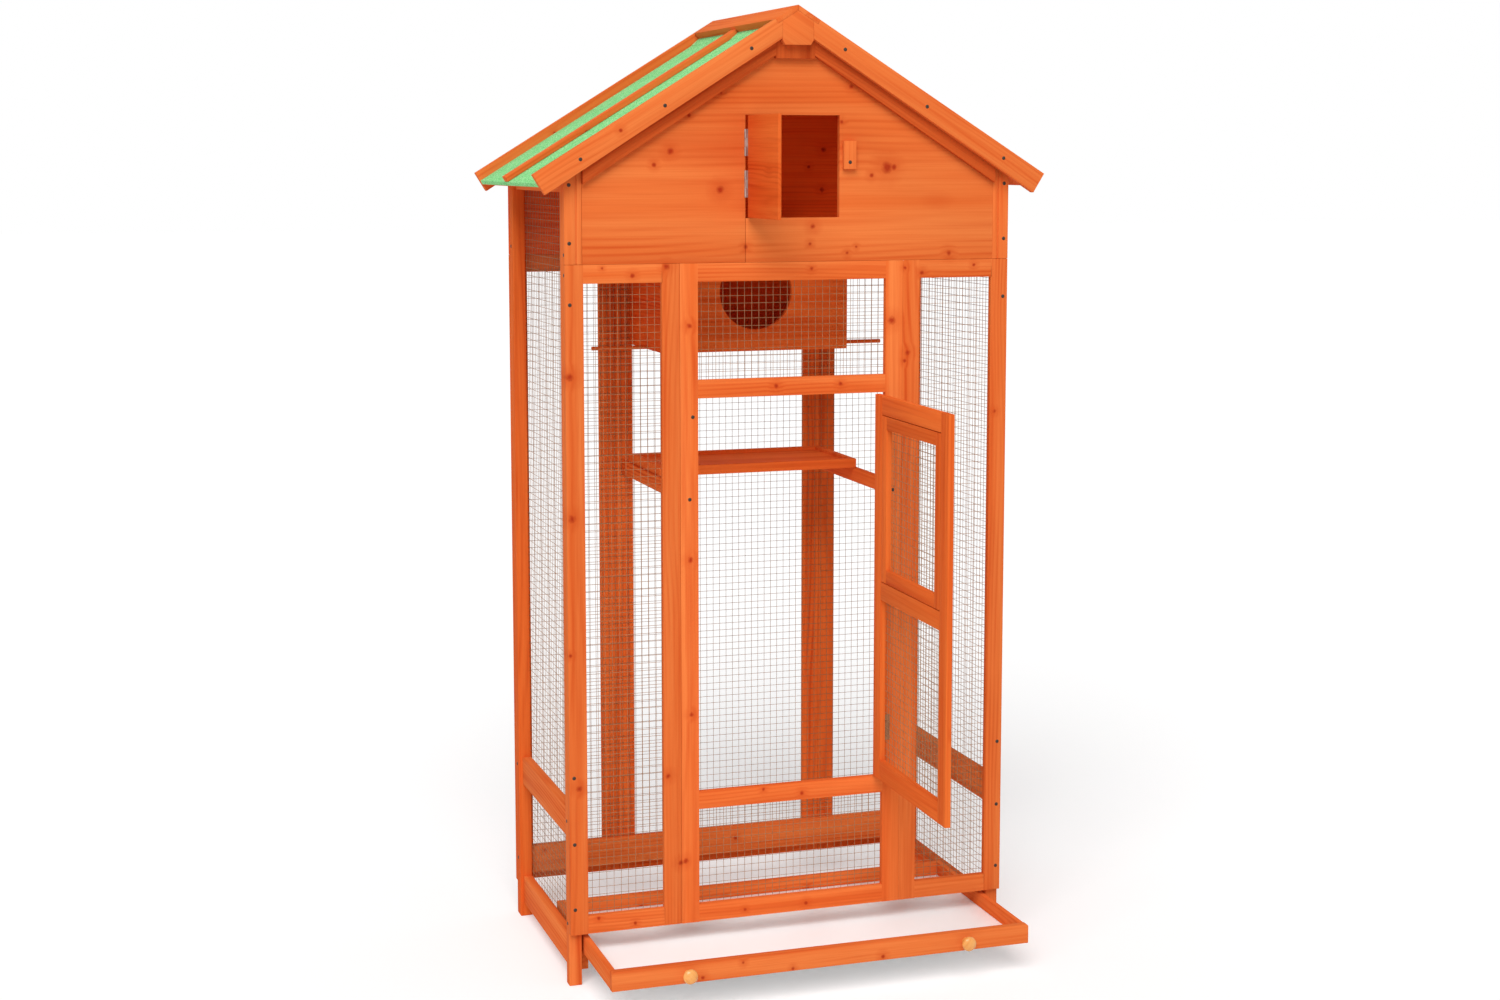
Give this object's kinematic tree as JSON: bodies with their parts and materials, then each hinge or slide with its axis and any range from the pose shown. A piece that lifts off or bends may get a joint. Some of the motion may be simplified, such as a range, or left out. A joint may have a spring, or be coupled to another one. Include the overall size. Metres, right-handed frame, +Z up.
{
  "type": "wooden birdhouse",
  "caption": "Tall gabled wooden birdhouse cage with wire-mesh walls, opening doors, nest box, shelf, perch and a pull-out cleaning tray.",
  "frame": {"origin": "centre of the whole part's box on the floor, with the main door open and the tray drawn out as at rest", "axes": "+Z up, +Y to the back, +X to the right seen from the front"},
  "size_m": [0.903, 0.7846, 1.6473],
  "materials": {
    "stained_wood": "orange stained fir, matte",
    "inner_wood": "orange stained fir in shade, matte",
    "varnished_wood": "clear varnished",
    "roof_felt": "board covered in green mineral felt",
    "wire": "galvanised",
    "tray_sheet": "smooth white"
  },
  "bodies": {
    "cage": {"barge_front_left": "stained_wood", "barge_front_right": "stained_wood", "barge_rear_left": "stained_wood", "barge_rear_right": "stained_wood", "base_rail_left": "stained_wood", "base_rail_rear": "inner_wood", "base_rail_right": "stained_wood", "batten_left": "stained_wood", "batten_right": "stained_wood", "door_hinge_lower": "wire", "door_hinge_upper": "wire", "eave_rail_left": "stained_wood", "eave_rail_right": "stained_wood", "front_frame_center": "stained_wood", "front_frame_left": "stained_wood", "front_frame_right": "stained_wood", "gable_front": "stained_wood", "gable_rafter": "stained_wood", "gable_rear": "inner_wood", "gable_stile_left": "stained_wood", "gable_stile_right": "stained_wood", "king_block": "stained_wood", "mid_rail_left": "stained_wood", "mid_rail_right": "stained_wood", "nest_floor": "inner_wood", "nest_front": "inner_wood", "nest_shell": "inner_wood", "net_center_lower": "wire", "net_center_upper": "wire", "net_front_left": "wire", "net_front_right": "wire", "net_rear": "wire", "net_side_left": "wire", "net_side_right": "wire", "perch": "inner_wood", "post_front_left": "stained_wood", "post_front_right": "stained_wood", "post_rear_left": "inner_wood", "post_rear_right": "inner_wood", "rear_frame_center": "inner_wood", "rear_frame_left": "inner_wood", "rear_frame_right": "inner_wood", "ridge_cap_left": "stained_wood", "ridge_cap_right": "stained_wood", "roof_panel_left": "roof_felt", "roof_panel_right": "roof_felt", "shelf": "inner_wood", "shelf_support_left": "inner_wood", "shelf_support_right": "inner_wood"},
    "main_door": {"door_frame": "stained_wood", "net_door": "wire"},
    "hatch": {"hatch_frame": "stained_wood", "net_hatch": "wire"},
    "gable_door": {"gable_door": "stained_wood"},
    "turn_button": {"turn_button": "stained_wood"},
    "tray": {"tray_front": "stained_wood", "tray_rim": "stained_wood", "tray_sheet": "tray_sheet", "knob_left": "varnished_wood", "knob_right": "varnished_wood"}
  },
  "joints": [
    {"name": "main_door_hinge", "type": "hinge", "parent": "cage", "child": "main_door", "pos_m": [0.1637, -0.06272, 0.65875], "axis": [0, 0, 1], "range_deg": [-89, 15]},
    {"name": "hatch_hinge", "type": "hinge", "parent": "main_door", "child": "hatch", "pos_m": [0.16136, -0.09363, 0.817], "axis": [0, 0, 1], "range_deg": [0, 75]},
    {"name": "gable_door_hinge", "type": "hinge", "parent": "cage", "child": "gable_door", "pos_m": [-0.0847, -0.06072, 1.3815], "axis": [0, 0, 1], "range_deg": [-70, 91.3]},
    {"name": "turn_button_pivot", "type": "hinge", "parent": "cage", "child": "turn_button", "pos_m": [0.0987, -0.06187, 1.3885], "axis": [0, 1, 0], "range_deg": [-90, 90]},
    {"name": "tray_slide", "type": "slide", "parent": "cage", "child": "tray", "axis": [0, 1, 0], "range_m": [-0.15, 0.175]}
  ]
}
